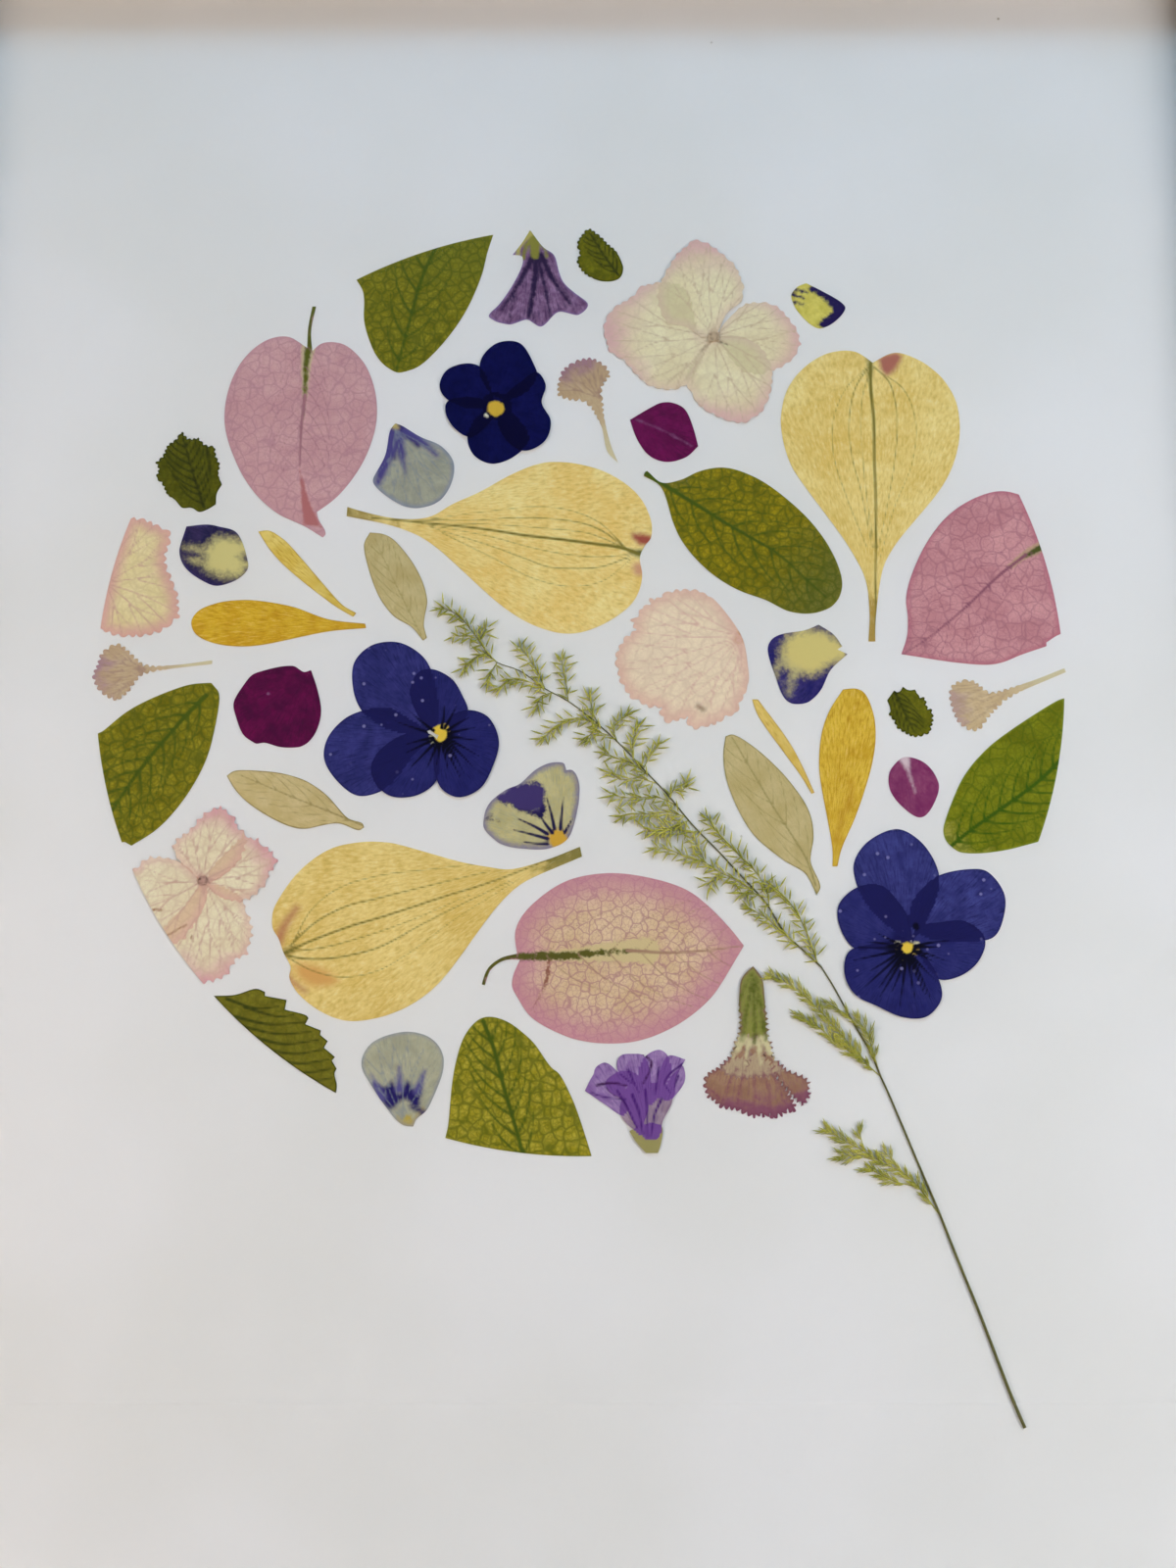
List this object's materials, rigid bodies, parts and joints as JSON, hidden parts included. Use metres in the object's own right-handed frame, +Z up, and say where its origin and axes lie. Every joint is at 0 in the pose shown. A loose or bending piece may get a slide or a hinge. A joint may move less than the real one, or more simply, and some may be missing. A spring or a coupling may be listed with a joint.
{
  "type": "pressed flower frame",
  "caption": "Pressed flowers, leaves and grass set out in a disc on a white board behind glass, in a plain wooden wall frame.",
  "frame": {"origin": "where the wall nail bears in the sawtooth hanger, in the plane of the frame's back face", "axes": "+Z up along the frame's long side, +Y from the picture into the wall, +X to the picture's right as it is seen from the front"},
  "size_m": [0.309, 0.0227, 0.3862],
  "materials": {
    "frame_wood": "satin oak",
    "tab_steel": "blued spring steel, dull",
    "hanger_steel": "zinc plated, dull",
    "glass": "clear picture glass",
    "mount_board": "matt white",
    "backing": "smooth brown hardboard",
    "leaf_olive": "pressed leaf, olive green",
    "leaf_bright": "pressed leaf, brighter green",
    "leaf_serrated": "pressed leaf, dark green",
    "leaf_straw": "pressed leaf, straw",
    "bract_pink": "pressed bract, dusty pink",
    "bract_deep": "pressed bract, deep pink",
    "tepal_yellow": "pressed petal, satin yellow",
    "ray_gold": "pressed petal, gold",
    "petal_magenta": "pressed petal, deep magenta",
    "petal_pale": "pressed petal, pale grey green",
    "petal_yellow_purple": "pressed petal, yellow and purple",
    "hydrangea_cream": "pressed sepal, cream",
    "trumpet_mauve": "pressed flower, tan and mauve",
    "bell_lilac": "pressed flower, lilac",
    "viola_night": "pressed petal, blue black",
    "viola_blue": "pressed petal, blue",
    "trumpet_purple": "pressed flower, lavender",
    "carnation_mauve": "pressed flower, brown mauve",
    "grass_straw": "pressed grass, green straw"
  },
  "bodies": {
    "root": {"rail_top": "frame_wood", "rail_right": "frame_wood", "rail_bottom": "frame_wood", "rail_left": "frame_wood", "flexible_tab_top": "tab_steel", "flexible_tab_right": "tab_steel", "flexible_tab_bottom": "tab_steel", "flexible_tab_left": "tab_steel", "sawtooth_hanger": "hanger_steel", "glass_pane": "glass", "mount_board": "mount_board", "backing_board": "backing", "leaf_oval_upper_left": "leaf_olive", "leaf_green_centre": "leaf_olive", "leaf_green_left_cut": "leaf_olive", "leaf_green_lower_cut": "leaf_olive", "leaf_green_right_cut": "leaf_bright", "serrated_leaf_upper": "leaf_serrated", "serrated_leaf_left": "leaf_serrated", "serrated_leaf_right": "leaf_serrated", "serrated_leaf_lower_cut": "leaf_serrated", "leaf_beige_upper": "leaf_straw", "leaf_beige_left": "leaf_straw", "leaf_beige_right": "leaf_straw", "bract_pink_left": "bract_pink", "bract_pink_centre": "bract_pink", "bract_pink_right_cut": "bract_deep", "tepal_yellow_right": "tepal_yellow", "tepal_yellow_centre": "tepal_yellow", "tepal_yellow_lower": "tepal_yellow", "ray_petal_upper": "ray_gold", "ray_petal_lower": "ray_gold", "ray_petal_thin": "ray_gold", "ray_petal_broad": "ray_gold", "petal_magenta_upper": "petal_magenta", "petal_magenta_left": "petal_magenta", "petal_magenta_small": "petal_magenta", "viola_petal_pale_upper": "petal_pale", "viola_petal_pale_lower": "petal_pale", "viola_petal_striped": "petal_pale", "viola_petal_small_upper": "petal_yellow_purple", "viola_petal_yellow_left": "petal_yellow_purple", "viola_petal_yellow_right": "petal_yellow_purple", "hydrangea_sepal_left_cut": "hydrangea_cream", "hydrangea_sepal_centre": "hydrangea_cream", "hydrangea_floret_upper": "hydrangea_cream", "hydrangea_floret_lower_cut": "hydrangea_cream", "trumpet_flower_upper": "trumpet_mauve", "trumpet_flower_left": "trumpet_mauve", "trumpet_flower_right": "trumpet_mauve", "bell_flower": "bell_lilac", "viola_dark": "viola_night", "viola_left": "viola_blue", "viola_right": "viola_blue", "trumpet_flower_purple": "trumpet_purple", "carnation": "carnation_mauve", "grass_stem": "grass_straw", "grass_panicle_upper": "grass_straw", "grass_branch_middle": "grass_straw", "grass_branch_low": "grass_straw"}
  },
  "joints": []
}
